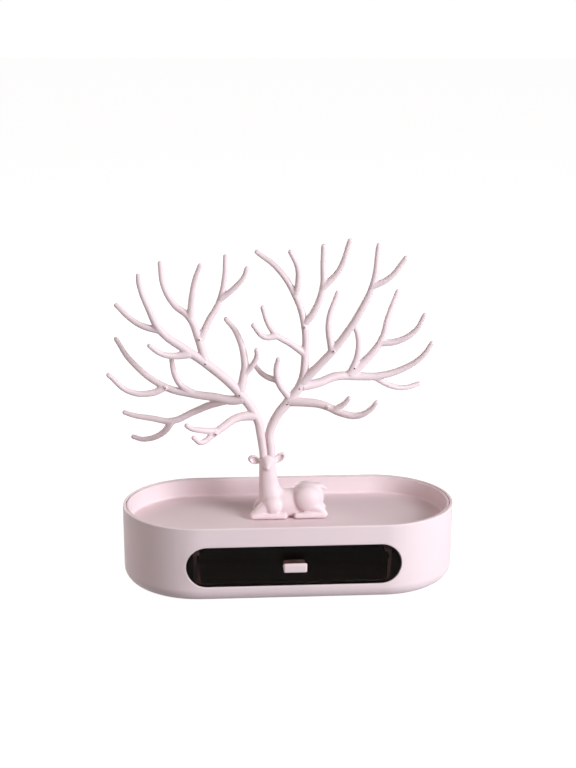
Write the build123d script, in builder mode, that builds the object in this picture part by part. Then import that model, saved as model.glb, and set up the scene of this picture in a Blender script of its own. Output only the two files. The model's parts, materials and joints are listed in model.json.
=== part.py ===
from build123d import *
from math import cos, sin, tan, radians, pi
import os

os.makedirs("parts", exist_ok=True)

# Jewelry stand: a stadium-shaped base with a drawer in its front, a tray on top,
# and a lying deer in the tray whose branching antlers carry the jewelry.
# Millimetres. +Z is up, the drawer opens towards -Y, and the origin is on the
# surface that the stand rests on, under the middle of the base.

# ---------------------------------------------------------------- driving sizes

# Base housing
base_length = 285.0
base_depth = 132.0
rim_height = 67.5
foot_stand = 1.5
housing_wall = 2.6
housing_floor = 4.6
wall_draft = 0.6
bottom_round = 12.0
rim_chamfer = 0.7

# Tray that nests in the housing
tray_gap = 0.25
tray_drop = 0.4
tray_wall = 2.0
tray_floor_thick = 2.0
tray_depth = 15.6
tray_under_chamfer = 2.5
tray_inner_chamfer = 1.2

# Screw posts that carry the tray
post_radius = 5.0
post_inset = 13.0
post_angle = 40.0
boss_radius = 4.0
boss_length = 6.0

# Screws, all one size
screw_radius = 1.5
screw_clearance = 0.2
thread_clearance = 0.05
head_radius = 2.8
head_height = 1.6
head_clearance = 0.3

# Base plate
plate_margin = 24.0
plate_thick = 3.0
plate_gap = 0.2
plate_lip = 8.0
plate_boss_radius = 3.5
plate_boss_height = 4.0
plate_screw_x = 55.0

# Rubber feet
foot_radius = 8.0
foot_recess = 0.6
foot_x = 102.0
foot_y = 20.0
foot_edge = 0.5

# Drawer opening and front panel
opening_length = 180.0
opening_height = 35.0
opening_middle = 33.2
panel_gap = 0.5
panel_set_back = 0.2
panel_thick = 2.6

# Drawer box
box_width = 161.0
box_length = 104.0
box_low = 17.4
box_height = 20.0
box_wall = 1.8
box_draft = 2.5
box_corner = 3.0
travel = 70.0

# Pull tab with its turned-up lip, its tongue through the panel and the clip behind it
pull_width = 19.2
pull_reach = 12.0
pull_thick = 2.6
pull_corner = 1.2
pull_lip_height = 7.6
pull_lip_thick = 2.4
pull_hollow = 2.0
tongue_width = 13.0
tongue_thick = 1.8
tongue_gap = 0.2
clip_width = 18.0
clip_height = 8.0
clip_thick = 2.0
clip_gap = 0.1
tongue_spare = 1.0

# Guides that the drawer slides in
guide_length = 92.0
guide_web = 2.5
guide_gap = 0.5
guide_play = 0.3
ledge_width = 5.0
ledge_thick = 2.0
lip_width = 2.6
guide_foot_width = 9.0
guide_foot_length = 54.0
guide_foot_thick = 4.0
guide_screw_y = 14.0
stop_reach = 1.6
stop_length = 5.0
stop_height = 6.0
stop_from_back = 2.0
rear_wall_thick = 2.5
rear_wall_reach = 6.0

# Deer: its place in the tray, and the screws that hold it down
deer_x = 0.0
deer_y = 8.0
head_x = -18.0
deer_height = 56.0
form_sides = 10
leg_reach = 11.0
deer_screw_x = (-9.0, 15.0)
deer_screw_depth = 8.0

# Antlers: sockets in the head, tines and stud holes
socket_spread = 3.4
tenon_radius = 1.9
tenon_length = 9.0
socket_clearance = 0.1
tine_sides = 6
tine_tip = 1.6
tine_step = 20.0
peg_radius = 1.2
peg_start = 1.6
peg_length = 6.0
peg_clearance = 0.08
peg_spare = 1.0
stud_hole_radius = 0.8
stud_hole_length = 16.0

# ------------------------------------------------------------- levels worked out

housing_floor_top = foot_stand + housing_floor
plate_top = foot_stand + plate_thick
tray_rim = rim_height - tray_drop
tray_floor = rim_height - tray_depth - tray_drop
tray_underside = tray_floor - tray_floor_thick
boss_end = tray_underside - boss_length
tray_inset = housing_wall + tray_gap
plate_length = base_length - 2 * plate_margin
plate_depth = base_depth - 2 * plate_margin
panel_inset = panel_set_back + panel_thick
end_arc = (base_length - base_depth) / 2
panel_back = -(base_depth / 2 - panel_inset)
box_top = box_low + box_height
box_back = panel_back + box_length
head_top = tray_floor + deer_height

# Points round the ends of the stadium where the posts stand
post_reach = base_depth / 2 - post_inset
post_x = end_arc + post_reach * cos(radians(post_angle))
post_y = post_reach * sin(radians(post_angle))
post_points = [(sx * post_x, sy * post_y) for sx in (-1, 1) for sy in (-1, 1)]

# Screws round the base plate's edge, half way across its lip
plate_screw_inset = plate_lip / 2
plate_screw_y = plate_depth / 2 - plate_screw_inset
plate_end_x = plate_length / 2 - plate_screw_inset
plate_screw_points = [(-plate_end_x, 0), (plate_end_x, 0)]
plate_screw_points += [(sx * plate_screw_x, sy * plate_screw_y) for sx in (-1, 1) for sy in (-1, 1)]
foot_points = [(sx * foot_x, sy * foot_y) for sx in (-1, 1) for sy in (-1, 1)]


on_end = (Align.CENTER, Align.CENTER, Align.MIN)


def stadium_body(inset, low, high=rim_height):
    """The base's drafted stadium, brought in by inset, from the level low up to high."""
    with BuildPart(mode=Mode.PRIVATE) as body:
        with BuildSketch(Plane.XY.offset(high)):
            SlotOverall(base_length - 2 * inset, base_depth - 2 * inset)
        extrude(amount=low - high, taper=wall_draft)
    return body.part


def wall_y(level, inset):
    """Where the front wall's outer face, brought in by inset, stands at a level."""
    return inset - base_depth / 2 + (rim_height - level) * tan(radians(wall_draft))


def screw(at, length):
    """A plain pan-head screw from below: the point is where its shank leaves its head."""
    with BuildPart(Plane.XY.move(Location(at)), mode=Mode.PRIVATE) as one:
        Cylinder(screw_radius, length, align=on_end)
        Cylinder(head_radius, head_height, align=(Align.CENTER, Align.CENTER, Align.MAX))
    return one.part


# ------------------------------------------------------------------ base housing

with BuildPart() as housing_shell:
    add(stadium_body(0, foot_stand))
    fillet(housing_shell.faces().sort_by(Axis.Z)[0].edges(), bottom_round)
    chamfer(housing_shell.faces().sort_by(Axis.Z)[-1].edges(), rim_chamfer)
    # Hollow, with the inner bottom corner kept clear of the rounded outside
    with BuildPart(mode=Mode.PRIVATE) as hollow:
        add(stadium_body(housing_wall, housing_floor_top))
        chamfer(hollow.faces().sort_by(Axis.Z)[0].edges(), (bottom_round - housing_wall) / 2)
    add(hollow.part, mode=Mode.SUBTRACT)
    # Drawer opening through the front wall
    with BuildSketch(Plane.XZ.offset(base_depth / 2 + 1)):
        with Locations((0, opening_middle)):
            SlotOverall(opening_length, opening_height)
    extrude(amount=-(post_inset - 1), mode=Mode.SUBTRACT)
    # Posts for the tray's screws, and bosses for the base plate's screws
    with BuildSketch(Plane.XY.offset(housing_floor_top)):
        with Locations(*post_points):
            Circle(post_radius)
    extrude(amount=boss_end - housing_floor_top)
    with BuildSketch(Plane.XY.offset(housing_floor_top)):
        with Locations(*plate_screw_points):
            Circle(plate_boss_radius)
    extrude(amount=plate_boss_height)
    # Opening in the floor with a rebate below it that takes the base plate
    with BuildSketch(Plane.XY.offset(foot_stand)):
        SlotOverall(plate_length, plate_depth)
    extrude(amount=plate_thick, mode=Mode.SUBTRACT)
    with BuildSketch(Plane.XY.offset(foot_stand)):
        SlotOverall(plate_length - 2 * plate_lip, plate_depth - 2 * plate_lip)
    extrude(amount=housing_floor, mode=Mode.SUBTRACT)
    # Deep counterbores put the tray's screw heads far up inside the posts
    with BuildSketch(Plane.XY.offset(foot_stand)):
        with Locations(*post_points):
            Circle(head_radius + head_clearance)
    extrude(amount=boss_end - 2 * head_height - foot_stand, mode=Mode.SUBTRACT)
    with BuildSketch(Plane.XY.offset(foot_stand)):
        with Locations(*post_points):
            Circle(screw_radius + screw_clearance)
    extrude(amount=boss_end - foot_stand, mode=Mode.SUBTRACT)
    with BuildSketch(Plane.XY.offset(foot_stand + plate_thick)):
        with Locations(*plate_screw_points):
            Circle(screw_radius + thread_clearance)
    extrude(amount=housing_floor + plate_boss_height, mode=Mode.SUBTRACT)
housing_shell.part.label = "housing_shell"

# ------------------------------------------------------------------------- tray

with BuildPart() as tray_insert:
    add(stadium_body(tray_inset, tray_underside, tray_rim))
    chamfer(tray_insert.faces().sort_by(Axis.Z)[0].edges(), tray_under_chamfer)
    with BuildPart(mode=Mode.PRIVATE) as well:
        add(stadium_body(tray_inset + tray_wall, tray_floor, tray_rim))
        chamfer(well.faces().sort_by(Axis.Z)[0].edges(), tray_inner_chamfer)
    add(well.part, mode=Mode.SUBTRACT)
    chamfer(tray_insert.faces().sort_by(Axis.Z)[-1].edges(), rim_chamfer)
    with BuildSketch(Plane.XY.offset(tray_underside)):
        with Locations(*post_points):
            Circle(boss_radius)
    extrude(amount=-boss_length)
    with BuildSketch(Plane.XY.offset(boss_end)):
        with Locations(*post_points):
            Circle(screw_radius + thread_clearance)
    extrude(amount=boss_length, mode=Mode.SUBTRACT)
    with BuildSketch(Plane.XY.offset(tray_underside)):
        with Locations(*[(deer_x + x, deer_y) for x in deer_screw_x]):
            Circle(screw_radius + screw_clearance)
    extrude(amount=tray_floor_thick, mode=Mode.SUBTRACT)
tray_insert.part.label = "tray_insert"

with BuildPart() as tray_screws:
    for x, y in post_points:
        add(screw((x, y, boss_end - 2 * head_height), boss_length + head_height))
tray_screws.part.label = "tray_screws"

# ------------------------------------------------------------- base plate and feet

guide_inner = box_width / 2 + guide_gap
guide_outer = guide_inner + guide_web
guide_screw_x = guide_outer + guide_foot_width / 2
guide_screw_points = [(sx * guide_screw_x, sy * guide_screw_y) for sx in (-1, 1) for sy in (-1, 1)]
plate_head_face = foot_stand + head_height

with BuildPart() as base_plate:
    with BuildSketch(Plane.XY.offset(foot_stand)):
        SlotOverall(plate_length - 2 * plate_gap, plate_depth - 2 * plate_gap)
    extrude(amount=plate_thick)
    with BuildSketch(Plane.XY.offset(foot_stand)):
        with Locations(*foot_points):
            Circle(foot_radius + plate_gap)
    extrude(amount=foot_recess, mode=Mode.SUBTRACT)
    with Locations(*[(x, y, foot_stand) for x, y in plate_screw_points + guide_screw_points]):
        with Locations(Location((0, 0, 0), (180, 0, 0))):
            CounterBoreHole(
                screw_radius + screw_clearance, head_radius + head_clearance, head_height, plate_thick
            )
base_plate.part.label = "base_plate"

with BuildPart() as base_screws:
    for x, y in plate_screw_points:
        add(screw((x, y, plate_head_face), housing_floor + plate_boss_height - 2 * head_height))
base_screws.part.label = "base_screws"

with BuildPart() as rubber_feet:
    with BuildSketch():
        with Locations(*foot_points):
            Circle(foot_radius)
    extrude(amount=foot_stand + foot_recess)
    chamfer(rubber_feet.faces().group_by(Axis.Z)[0].edges(), foot_edge)
rubber_feet.part.label = "rubber_feet"

# ----------------------------------------------------------------------- drawer

stop_low = box_low + (box_height - stop_height) / 2
stop_middle_y = box_back - stop_from_back - stop_length / 2

with BuildPart() as drawer_front:
    with BuildSketch(Plane.XZ.offset(base_depth / 2 + 1)):
        with Locations((0, opening_middle)):
            SlotOverall(opening_length - 2 * panel_gap, opening_height - 2 * panel_gap)
            Rectangle(tongue_width + 2 * tongue_gap, tongue_thick + 2 * tongue_gap, mode=Mode.SUBTRACT)
    extrude(amount=-post_inset)
    # Cut to the curve and draft of the housing's wall, so that the panel follows it
    add(stadium_body(panel_set_back, foot_stand), mode=Mode.INTERSECT)
    add(stadium_body(panel_inset, foot_stand), mode=Mode.SUBTRACT)
drawer_front.part.label = "drawer_front"

with BuildPart() as drawer_box:
    # Drafted tray, open at the front, where the panel closes it
    with BuildSketch(Plane.XY.offset(box_top)):
        with Locations((0, (panel_back + box_back) / 2 - box_corner)):
            RectangleRounded(box_width, box_length + 2 * box_corner, box_corner)
    extrude(amount=-box_height, taper=box_draft)
    with BuildSketch(Plane.XY.offset(box_top)):
        with Locations((0, box_back - box_wall)):
            Rectangle(
                box_width - 2 * box_wall, box_length + 2 * box_corner, align=(Align.CENTER, Align.MAX)
            )
    extrude(amount=box_wall - box_height, taper=box_draft, mode=Mode.SUBTRACT)
    # Nubs near the back that run in the guides and stop the drawer when it is out
    with BuildSketch(Plane.XY.offset(stop_low)):
        for side in (-1, 1):
            with Locations((side * (box_width / 2 + (stop_reach - box_wall / 2) / 2), stop_middle_y)):
                Rectangle(stop_reach + box_wall / 2, stop_length)
    extrude(amount=stop_height)
    add(stadium_body(panel_inset, foot_stand), mode=Mode.INTERSECT)
drawer_box.part.label = "drawer_box"

with BuildPart() as drawer_pull:
    pull_low = opening_middle - pull_thick / 2
    pull_face = wall_y(pull_low + pull_thick, panel_set_back)
    pull_front = pull_face - pull_reach
    tongue_end = wall_y(opening_middle, panel_inset) + clip_thick + tongue_spare
    # A flat tab with a lip turned up at its front, hollowed where the fingertip hooks in
    with BuildSketch(Plane.YZ.offset(-pull_width / 2)):
        with Locations((pull_front, pull_low)):
            Rectangle(pull_reach, pull_thick, align=(Align.MIN, Align.MIN))
            Rectangle(pull_lip_thick, pull_lip_height, align=(Align.MIN, Align.MIN))
    extrude(amount=pull_width)
    inner = drawer_pull.edges().filter_by(Axis.X).filter_by_position(
        Axis.Y, pull_front + pull_lip_thick - 0.1, pull_front + pull_lip_thick + 0.1
    )
    fillet(inner.sort_by(Axis.Z)[0], pull_hollow)
    fillet(drawer_pull.edges().filter_by(Axis.X).group_by(Axis.Y)[0], pull_corner)
    fillet(drawer_pull.edges().filter_by(Axis.Y).group_by(Axis.Z)[-1], pull_corner)
    with BuildSketch(Plane.XZ.offset(-pull_face)):
        with Locations((0, opening_middle)):
            Rectangle(tongue_width, tongue_thick)
    extrude(amount=pull_face - tongue_end)
drawer_pull.part.label = "drawer_pull"

with BuildPart() as pull_clip:
    clip_face = wall_y(opening_middle - clip_height / 2, panel_inset)
    with BuildSketch(Plane.XZ.offset(-clip_face)):
        with Locations((0, opening_middle)):
            RectangleRounded(clip_width, clip_height, clip_thick)
            Rectangle(tongue_width + 2 * clip_gap, tongue_thick + 2 * clip_gap, mode=Mode.SUBTRACT)
    extrude(amount=-clip_thick)
pull_clip.part.label = "pull_clip"

# ---------------------------------------------------------------- drawer guides

guide_back = box_back + guide_play + rear_wall_thick
ledge_top = box_low - guide_play
ledge_low = ledge_top - ledge_thick
lip_low = box_top + guide_play
low_corner = (Align.MIN, Align.MIN)

with BuildPart() as drawer_guide_right:
    # A channel: web, ledge under the drawer and lip over its wall
    with BuildSketch(Plane.XZ.offset(-guide_back)):
        with Locations((guide_inner, ledge_low)):
            Rectangle(guide_web, lip_low + ledge_thick - ledge_low, align=low_corner)
        with Locations((guide_inner - ledge_width, ledge_low)):
            Rectangle(ledge_width, ledge_thick, align=low_corner)
        with Locations((guide_inner - lip_width, lip_low)):
            Rectangle(lip_width, ledge_thick, align=low_corner)
    extrude(amount=guide_length)
    # Wall behind the drawer, which stops it when it is pushed home
    with BuildSketch(Plane.XZ.offset(-guide_back)):
        with Locations((guide_inner - rear_wall_reach, ledge_low)):
            Rectangle(rear_wall_reach, lip_low + ledge_thick - ledge_low, align=low_corner)
    extrude(amount=rear_wall_thick)
    # Leg and foot that stand on the base plate
    with BuildSketch(Plane.XY.offset(plate_top)):
        with Locations((guide_inner, 0)):
            Rectangle(guide_web, guide_foot_length, align=(Align.MIN, Align.CENTER))
    extrude(amount=ledge_low - plate_top)
    with BuildSketch(Plane.XY.offset(plate_top)):
        with Locations((guide_inner, 0)):
            Rectangle(guide_web + guide_foot_width, guide_foot_length, align=(Align.MIN, Align.CENTER))
        with Locations((guide_screw_x, -guide_screw_y), (guide_screw_x, guide_screw_y)):
            Circle(screw_radius + thread_clearance, mode=Mode.SUBTRACT)
    extrude(amount=guide_foot_thick)
    # Window in the web in which the drawer's nub travels
    window_back = stop_middle_y + stop_length / 2 + guide_play
    window_front = stop_middle_y - stop_length / 2 - travel - guide_play
    with BuildSketch(Plane.YZ.offset(guide_inner)):
        with Locations((window_front, stop_low - guide_play)):
            Rectangle(window_back - window_front, stop_height + 2 * guide_play, align=low_corner)
    extrude(amount=guide_web, mode=Mode.SUBTRACT)
drawer_guide_right.part.label = "drawer_guide_right"

with BuildPart() as drawer_guide_left:
    mirror(drawer_guide_right.part, about=Plane.YZ)
drawer_guide_left.part.label = "drawer_guide_left"

with BuildPart() as guide_screws:
    for x, y in guide_screw_points:
        add(screw((x, y, plate_head_face), plate_thick - head_height + guide_foot_thick))
guide_screws.part.label = "guide_screws"

# ------------------------------------------------------------------------- deer


def ring(at, z_dir, x_dir, half_x, half_y, sides=form_sides):
    """A many-sided oval about a point, facing along z_dir, for a ruled loft."""
    corners = [2 * pi * (i + 0.5) / sides for i in range(sides)]
    with BuildSketch(Plane(at, x_dir=x_dir, z_dir=z_dir)) as oval:
        Polygon(*[(half_x * cos(a), half_y * sin(a)) for a in corners], align=None)
    return oval.sketch


def lengthways(*rings):
    """A form along X: each ring is (x, z of its middle, half width, half height)."""
    loft([ring(on_deer(x, 0, z), (1, 0, 0), (0, 1, 0), w, h) for x, z, w, h in rings], ruled=True)


def upright(*rings):
    """A form along Z: each ring is (z, x of its middle, half length, half width)."""
    loft([ring(on_deer(x, 0, z), (0, 0, 1), (1, 0, 0), a, b) for z, x, a, b in rings], ruled=True)


def sideways(side, x, z, *rings):
    """A rounded form on the deer's flank: each ring is (its y, half length, half height)."""
    loft([ring(on_deer(x, side * y, z), (0, 1, 0), (1, 0, 0), a, b) for y, a, b in rings], ruled=True)


def limb(start, end, *sizes):
    """A tapered bar between two points: sizes are (share of its length, half width, half height)."""
    run = Vector(*end) - Vector(*start)
    side = run.cross(Vector(0, 0, 1)).normalized()
    middles = [on_deer(*(Vector(*start) + run * t)) for t, a, b in sizes]
    loft([ring(m, run, side, a, b, tine_sides) for m, (t, a, b) in zip(middles, sizes)], ruled=True)


def on_deer(x, y, z):
    """A point measured from the tray's floor under the middle of the deer."""
    return Vector(deer_x + x, deer_y + y, tray_floor + z)


with BuildPart() as deer_body:
    # Body from chest to rump, then neck and head in one sweep upwards
    lengthways(
        (-25, 15, 4, 5), (-21, 14, 8, 11), (-12, 13.5, 10.5, 12.5), (-3, 13, 10.5, 11.8), (5, 14, 11, 13.2),
        (14, 16.2, 12, 15.2), (23, 15.8, 11, 13.6), (29, 15, 8, 9.2), (31.5, 15, 4, 4.5),
    )
    upright(
        (6, -14, 9, 8), (20, -15.8, 9.4, 8.4), (28, -16.8, 8.2, 7.4), (37, -17.3, 7.5, 6.8),
        (45, -17.8, 7, 6.4), (53, -18, 6.7, 6), (deer_height, head_x, 6.3, 4.6),
    )
    # Muzzle, facing the front and a little down
    limb((-18, 2, 51), (-18.4, -13.5, 45), (0, 6, 5.4), (0.55, 4.6, 4.6), (0.85, 3.4, 3.5), (1, 2, 2.2))
    # Ears
    ear = (0, 1.4, 1.8), (0.3, 1.5, 2.2), (0.6, 1.6, 3.4), (0.85, 1.2, 2.6), (1, 0.6, 0.8)
    limb((-22, 0, 49), (-34.4, -1, 53), *ear)
    limb((-14, 0, 48.5), (-3, -1, 56), *ear)
    # Tail
    limb((20, 0, 28.2), (34.5, 0, 22.8), (0, 2.6, 2.2), (0.7, 2.4, 1.6), (1, 1, 0.8))
    shin = (0, 2, 2.2), (0.06, 2.8, 2.9), (0.9, 2.6, 2.7), (1, 2, 1.8)
    for side in (-1, 1):
        # Thigh, hock and hind foot, then shoulder, knee and forefoot
        sideways(side, 17, 17.2, (2, 13.5, 14), (9, 13, 13.6), (12.5, 10.5, 11), (14, 6.5, 7))
        leg = side * leg_reach
        limb((22, leg, 9), (32, leg, 4.2), (0, 3.4, 4.4), (0.7, 2.8, 3.4), (1, 1.8, 2.4))
        limb((32.4, leg, 3), (4.4, leg, 3), *shin)
        sideways(side, -14.5, 12, (3, 8, 8.6), (8.5, 7.6, 8.2), (11.8, 5.8, 6.2), (13, 3.4, 3.8))
        limb((-16, leg, 9), (-32, leg, 4.2), (0, 3.4, 5.4), (0.7, 2.8, 3.8), (1, 2, 2.4))
        limb((-32.8, leg, 3), (-1, leg, 3), *shin)
    # Belly pad that the deer rests on, with its two screw holes
    with BuildSketch(Plane.XY.offset(tray_floor)):
        with Locations((deer_x, deer_y)):
            SlotOverall(2 * 24, 2 * 9)
    extrude(amount=6)
    with BuildSketch(Plane.XY.offset(tray_floor)):
        with Locations(*[(deer_x + x, deer_y) for x in deer_screw_x]):
            Circle(screw_radius + thread_clearance)
    extrude(amount=deer_screw_depth, mode=Mode.SUBTRACT)
    # Sockets in the top of the head for the two antlers
    with BuildSketch(Plane.XY.offset(head_top)):
        with Locations(*[(deer_x + head_x + side * socket_spread, deer_y) for side in (-1, 1)]):
            Circle(tenon_radius + socket_clearance)
    extrude(amount=-(tenon_length + socket_clearance), mode=Mode.SUBTRACT)
deer_body.part.label = "deer_body"

with BuildPart() as deer_screws:
    for x in deer_screw_x:
        add(screw((deer_x + x, deer_y, tray_underside), tray_floor_thick + deer_screw_depth - 1))
deer_screws.part.label = "deer_screws"

# ---------------------------------------------------------------------- antlers


def on_head(x, y, z):
    """A point measured from the middle of the head's flat top."""
    return Vector(deer_x + head_x + x, deer_y + y, head_top + z)


def tine(points, *radii):
    """A tapered tine on a smooth line through the points; the radii are evenly spaced along it."""
    with BuildLine(mode=Mode.PRIVATE) as route:
        Spline(*[on_head(*p) for p in points])
    line = route.edges()[0]
    bands = max(2, round(line.length / tine_step))
    blunt = radii[-1] / line.length
    places = [(1 - blunt) * i / bands for i in range(bands + 1)] + [1]
    rings = []
    for place in places:
        spot = min(place, 0.999) * (len(radii) - 1)
        radius = radii[int(spot)] + (radii[int(spot) + 1] - radii[int(spot)]) * (spot - int(spot))
        radius *= 0.5 if place == 1 else 1
        along = line % place
        across = Vector(0, 1, 0) - along * along.Y
        rings.append(ring(line @ place, along, across, radius, radius, tine_sides))
    loft(rings, ruled=True)


def peg_holes(*branches):
    """Blind holes from a stem's middle outwards, one at the root of each branch that plugs on."""
    for points in branches:
        root, way = on_head(*points[0]), on_head(*points[1]) - on_head(*points[0])
        with Locations(Plane(root + way.normalized() * peg_start, z_dir=way)):
            Cylinder(peg_radius, peg_length + peg_spare, align=on_end, mode=Mode.SUBTRACT)


def plug_on(points, *carriers):
    """Cut a branch's root to the stems that carry it, and give it the peg that plugs in."""
    for carrier in carriers:
        add(carrier, mode=Mode.SUBTRACT)
    root, way = on_head(*points[0]), on_head(*points[1]) - on_head(*points[0])
    with Locations(Plane(root + way.normalized() * (peg_start + peg_clearance), z_dir=way)):
        Cylinder(peg_radius - peg_clearance, peg_length, align=on_end)


def stud_holes(*points):
    """Holes from front to back for earring studs."""
    for p in points:
        with Locations(Plane(on_head(*p), z_dir=(0, 1, 0))):
            Cylinder(stud_hole_radius, stud_hole_length, mode=Mode.SUBTRACT)


def tenon(side):
    """The round end below a stem that plugs into the head."""
    with Locations(on_head(side * socket_spread, 0, 0)):
        Cylinder(tenon_radius, tenon_length, align=(Align.CENTER, Align.CENTER, Align.MAX))


# Middle lines of the plug-on branches, each from its root on the stem to its tip
left_crown = [(-53, -3, 84), (-58, -1, 102), (-66, 2, 121), (-78, 5, 131), (-87, 7, 147), (-90, 10, 168)]
left_side = [
    (-20, 0, 50), (-30, 2, 48), (-46, 6, 50), (-63, 9, 52),
    (-87, 12, 58), (-116, 19, 80), (-129, 22, 100),
]
left_back = [
    (-34, 3, 48), (-48, 10, 42), (-62, 17, 34), (-82, 20, 25),
    (-98, 22, 27), (-115, 23, 30), (-124, 24, 33),
]
left_front = [
    (-10, 0, 35), (-26, -4, 34), (-40, -11, 27),
    (-47, -15, 23), (-57, -21, 18), (-65, -27, 25),
]
left_inner = [(-23, 0, 56), (-20, 2, 70), (-19, 3, 80), (-26, 7, 106), (-36, 10, 119)]
right_inner = [(19, 0, 50), (9, -3, 65), (7, -5, 77), (9, -7, 88)]
right_front = [
    (18, 0, 47), (30, -4, 47), (46, -9, 46), (63, -16, 40),
    (75, -20, 39), (86, -24, 46), (91, -27, 54),
]
right_upper = [
    (29, 0, 63), (44, -4, 80), (55, -7, 93), (65, -9, 107),
    (76, -12, 126), (87, -14, 152), (91, -14, 186),
]
right_side = [
    (29, 0, 60), (45, 4, 62), (59, 8, 66), (80, 11, 65),
    (96, 11, 65), (120, 9, 73), (134, 6, 84), (142, 4, 97),
]
right_crown = [(32, 1.8, 115), (39, 0, 125), (46, -2, 147), (46, -3, 167), (46, -5, 184)]

# Left antler: the stem sweeps up and out into the longest tine, with two tines on it
with BuildPart() as left_stem:
    tine(
        [(-3.2, 0, -1.5), (-6, 0, 20), (-8, 0, 30), (-23, 0, 54), (-52, -3, 82),
         (-71, -5, 96), (-90, -8, 112), (-100, -10, 132), (-107, -11, 152), (-108, -12, 162)],
        2.4, 3.7, 4.1, 4.0, 3.9, 3.5, 3.0, 2.2, tine_tip,
    )
    tine([(-89, -8, 112), (-105, -6, 116), (-115, -4, 122), (-128, 0, 134)], 2.5, 2.2, tine_tip)
    tine([(-66, -5, 91), (-79, -7, 90), (-90, -10, 93), (-101, -14, 102)], 2.9, 2.2, tine_tip)
    split(bisect_by=Plane.XY.offset(head_top))
with BuildPart() as antler_left_main:
    add(left_stem.part)
    tenon(-1)
    peg_holes(left_crown, left_side, left_front, left_inner)
    stud_holes((-53, -3, 82.5), (-24, 0, 53.5))
antler_left_main.part.label = "antler_left_main"

with BuildPart() as antler_left_crown:
    tine(left_crown, 3.1, 2.9, 2.4, tine_tip)
    tine([(-65, 2, 119), (-64, 1, 134), (-61, -1, 153), (-56, -3, 168)], 2.4, 2.3, tine_tip)
    tine([(-57, -1, 101), (-50, 1, 117), (-41, 3, 133), (-36, 4, 154), (-35, 6, 174)], 2.6, 2.3, tine_tip)
    tine([(-40, 3, 136), (-30, 1, 144), (-20, -1, 156), (-17, -2, 165)], 2.2, 2.0, tine_tip)
    plug_on(left_crown, left_stem.part)
    stud_holes((-58, -1, 103))
antler_left_crown.part.label = "antler_left_crown"

with BuildPart() as left_bough:
    tine(left_side, 3.5, 3.5, 3.2, 2.6, 2.2, tine_tip)
    tine([(-86, 12, 58), (-98, 11, 53), (-117, 9, 55), (-136, 6, 72)], 2.5, 2.2, tine_tip)
    tine([(-60, 9, 51), (-75, 9, 62), (-81, 8, 83), (-81, 8, 88)], 2.4, 2.2, tine_tip)
with BuildPart() as antler_left_side:
    add(left_bough.part)
    peg_holes(left_back)
    plug_on(left_side, left_stem.part)
    stud_holes((-87, 12, 58))
antler_left_side.part.label = "antler_left_side"

with BuildPart() as antler_left_back:
    tine(left_back, 2.9, 2.9, 2.7, 2.3, tine_tip)
    tine([(-81, 20, 25), (-90, 23, 13), (-106, 26, 7), (-117, 29, 9)], 2.5, 2.2, tine_tip)
    plug_on(left_back, left_bough.part)
antler_left_back.part.label = "antler_left_back"

with BuildPart() as antler_left_front:
    tine(left_front, 3.5, 3.5, 3.3, 2.2, tine_tip)
    tine([(-44, -13, 25), (-56, -19, 28), (-66, -22, 31), (-71, -23, 35)], 2.5, 2.2, tine_tip)
    plug_on(left_front, left_stem.part)
    stud_holes((-45, -15, 24))
antler_left_front.part.label = "antler_left_front"

with BuildPart() as antler_left_inner:
    tine(left_inner, 3.3, 3.2, 2.6, tine_tip)
    tine([(-20, 2, 70), (-13, 0, 79), (-9, -2, 89), (-10, -3, 95)], 2.2, 2.0, tine_tip)
    plug_on(left_inner, left_stem.part)
antler_left_inner.part.label = "antler_left_inner"

# Right antler: the stem rises more steeply, and its crown bends back over the head
with BuildPart() as right_stem:
    tine(
        [(3.5, 0, -1.5), (2, 0, 18), (7, 0, 32), (18, 0, 47), (29, 0, 63),
         (32, 1, 85), (31, 2, 115), (23, 7, 139), (9, 11, 160), (-10, 15, 175)],
        2.4, 3.7, 4.1, 4.0, 3.0, 2.8, 2.6, 2.2, tine_tip,
    )
    tine([(24, 7, 136), (26, 5, 150), (25, 3, 163), (18, 1, 178)], 2.3, 2.1, tine_tip)
    tine([(32, 1, 88), (19, -1, 98), (7, -3, 106), (1, -1, 114), (-5, 1, 131)], 2.4, 2.2, tine_tip)
    tine([(8, -3, 105), (-3, -5, 105), (-14, -7, 117)], 2.1, tine_tip)
    split(bisect_by=Plane.XY.offset(head_top))
with BuildPart() as antler_right_main:
    add(right_stem.part)
    tenon(1)
    peg_holes(right_inner, right_front, right_upper, right_side, right_crown)
    stud_holes((16.5, 0, 45), (27, 0, 58.5), (31, 2, 112))
antler_right_main.part.label = "antler_right_main"

with BuildPart() as antler_right_crown:
    tine(right_crown, 2.6, 2.7, 2.3, tine_tip)
    tine([(46, -2, 146), (59, -5, 161), (68, -10, 189)], 2.4, 2.1, tine_tip)
    plug_on(right_crown, right_stem.part)
antler_right_crown.part.label = "antler_right_crown"

with BuildPart() as right_diagonal:
    tine(right_upper, 3.4, 3.3, 3.2, 3.0, 2.4, tine_tip)
    tine([(54, -7, 92), (51, -6, 118), (59, -4, 144)], 2.6, 2.2, tine_tip)
    tine([(86, -14, 149), (100, -17, 157), (114, -21, 176)], 2.2, 2.0, tine_tip)
with BuildPart() as antler_right_upper:
    add(right_diagonal.part)
    peg_holes(right_side)
    plug_on(right_upper, right_stem.part)
    stud_holes((55, -7, 93))
antler_right_upper.part.label = "antler_right_upper"

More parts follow.
